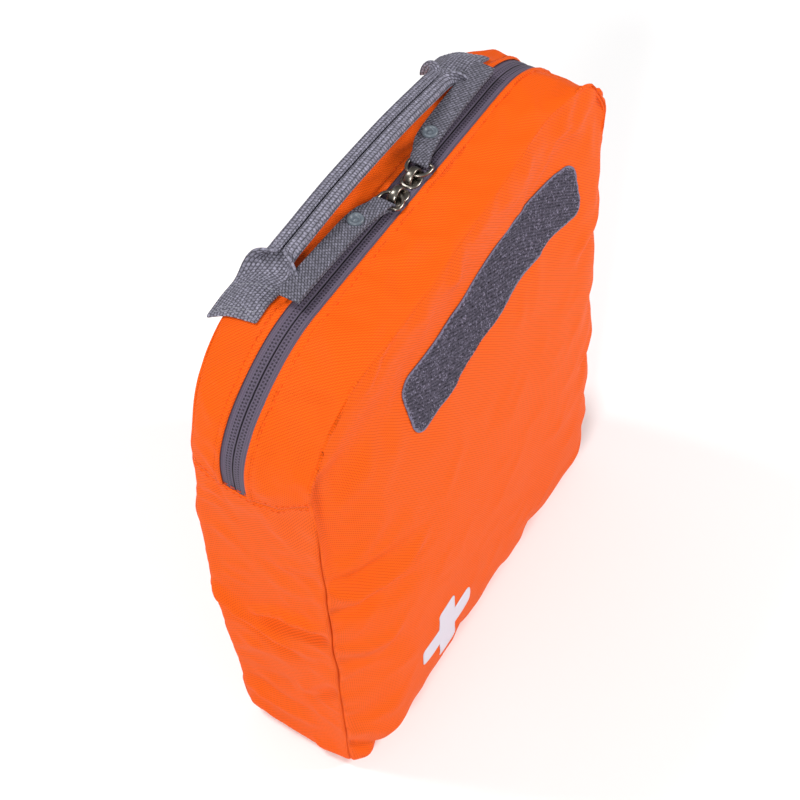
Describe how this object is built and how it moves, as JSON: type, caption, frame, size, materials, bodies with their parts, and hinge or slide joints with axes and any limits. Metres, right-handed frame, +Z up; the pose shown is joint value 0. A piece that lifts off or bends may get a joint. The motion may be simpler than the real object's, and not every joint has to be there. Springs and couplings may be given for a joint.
{
  "type": "first aid kit",
  "caption": "Upright soft case with an arched two-slider zip, webbing handle, loop patch and reflective mark, packed with dressings and tools.",
  "frame": {"origin": "middle of the base, on the surface that the kit stands on, halfway between the seams of its front and back panels", "axes": "+Z up towards the handle, -Y out of the front panel, +X to the right seen from the front"},
  "size_m": [0.24, 0.0774, 0.315],
  "materials": {
    "shell_cloth": "coated nylon oxford, semi-matt",
    "handle_webbing": "ribbed grey nylon webbing",
    "tab_webbing": "ribbed grey nylon webbing",
    "zip_tape": "knitted polyester tape with reverse coil",
    "zip_coil": "nylon coil",
    "loop_pile": "hook-and-loop pile",
    "slider_metal": "dark nickel, worn",
    "rivet_plastic": "moulded acetal, satin",
    "reflective_print": "retroreflective transfer",
    "foam_sheet": "closed-cell foam",
    "lining_cloth": "plain woven lining",
    "binding_tape": "ribbed binding tape",
    "pocket_mesh": "knitted mesh",
    "cotton": "cotton gauze",
    "packet_paper": "sterile packet paper",
    "packet_foil": "metallised film",
    "glove_film": "clear pouch of blue gloves",
    "box_card": "coated card",
    "tape_cloth": "adhesive cloth tape",
    "core_card": "brown card",
    "tool_steel": "satin stainless",
    "tool_plastic": "moulded black"
  },
  "bodies": {
    "case": {"back_panel": "shell_cloth", "back_stiffener": "foam_sheet", "organiser_panel": "lining_cloth", "lower_gusset": "shell_cloth", "front_panel": "shell_cloth", "binding_back": "binding_tape", "binding_front": "binding_tape", "zip_end_seam_tapes": "binding_tape", "zip_strip_back": "shell_cloth", "zip_tape_back": "zip_tape", "zip_coil_back": "zip_coil", "zip_end_tacks": "binding_tape", "handle_end_left": "handle_webbing", "handle_end_right": "handle_webbing", "reflective_mark": "reflective_print", "mesh_pocket": "pocket_mesh", "pocket_binding": "binding_tape", "tool_loops": "binding_tape", "roller_bandage_wide": "cotton", "roller_bandage_narrow": "cotton", "tape_roll": "tape_cloth", "tape_core": "core_card", "gauze_dressings": "packet_paper", "wound_pad": "packet_paper", "triangular_bandage": "cotton", "foil_blanket": "packet_foil", "plaster_box": "box_card", "glove_packet": "glove_film", "antiseptic_wipes": "packet_paper", "tweezers": "tool_steel", "scissors_blade_right": "tool_steel", "scissors_handle_right": "tool_plastic", "scissors_rivet": "tool_steel"},
    "cover": {"cover_panel": "shell_cloth", "binding_cover": "binding_tape", "zip_strip_front": "shell_cloth", "zip_tape_front": "zip_tape", "zip_coil_front": "zip_coil", "loop_patch": "loop_pile"},
    "slider_left": {"slider_left": "slider_metal"},
    "slider_right": {"slider_right": "slider_metal"},
    "pull_ring_left": {"pull_ring_left": "slider_metal"},
    "pull_ring_right": {"pull_ring_right": "slider_metal"},
    "pull_tab_left": {"pull_tab_left": "tab_webbing", "tab_rivet_left": "rivet_plastic"},
    "pull_tab_right": {"pull_tab_right": "tab_webbing", "tab_rivet_right": "rivet_plastic"},
    "handle_grip": {"handle_grip": "handle_webbing"},
    "scissors_left_lever": {"scissors_blade_left": "tool_steel", "scissors_handle_left": "tool_plastic"}
  },
  "joints": [
    {"name": "cover_fold", "type": "hinge", "parent": "case", "child": "cover", "pos_m": [0, -0.031, 0.222], "axis": [1, 0, 0], "range_deg": [0, 80]},
    {"name": "slider_left_travel", "type": "slide", "parent": "case", "child": "slider_left", "axis": [-1, 0, 0], "range_m": [0, 0.05]},
    {"name": "slider_right_travel", "type": "slide", "parent": "case", "child": "slider_right", "axis": [1, 0, 0], "range_m": [0, 0.05]},
    {"name": "ring_left_swing", "type": "hinge", "parent": "slider_left", "child": "pull_ring_left", "pos_m": [-0.00305, 0.002, 0.3024], "axis": [0, 1, 0], "range_deg": [0, 90]},
    {"name": "ring_right_swing", "type": "hinge", "parent": "slider_right", "child": "pull_ring_right", "pos_m": [0.00855, 0.002, 0.3024], "axis": [0, -1, 0], "range_deg": [0, 90]},
    {"name": "tab_left_swing", "type": "hinge", "parent": "pull_ring_left", "child": "pull_tab_left", "pos_m": [-0.01085, 0.002, 0.3024], "axis": [0, 1, 0], "range_deg": [0, 65]},
    {"name": "tab_right_swing", "type": "hinge", "parent": "pull_ring_right", "child": "pull_tab_right", "pos_m": [0.01635, 0.002, 0.3024], "axis": [0, -1, 0], "range_deg": [0, 65]},
    {"name": "handle_tilt", "type": "hinge", "parent": "case", "child": "handle_grip", "pos_m": [0, 0.0211, 0.3026], "axis": [1, 0, 0], "range_deg": [-45, 12], "stiffness_Nm_per_rad": 0.02},
    {"name": "scissors_open", "type": "hinge", "parent": "case", "child": "scissors_left_lever", "pos_m": [0, -0.0228, 0.11], "axis": [0, -1, 0], "range_deg": [0, 60]}
  ]
}
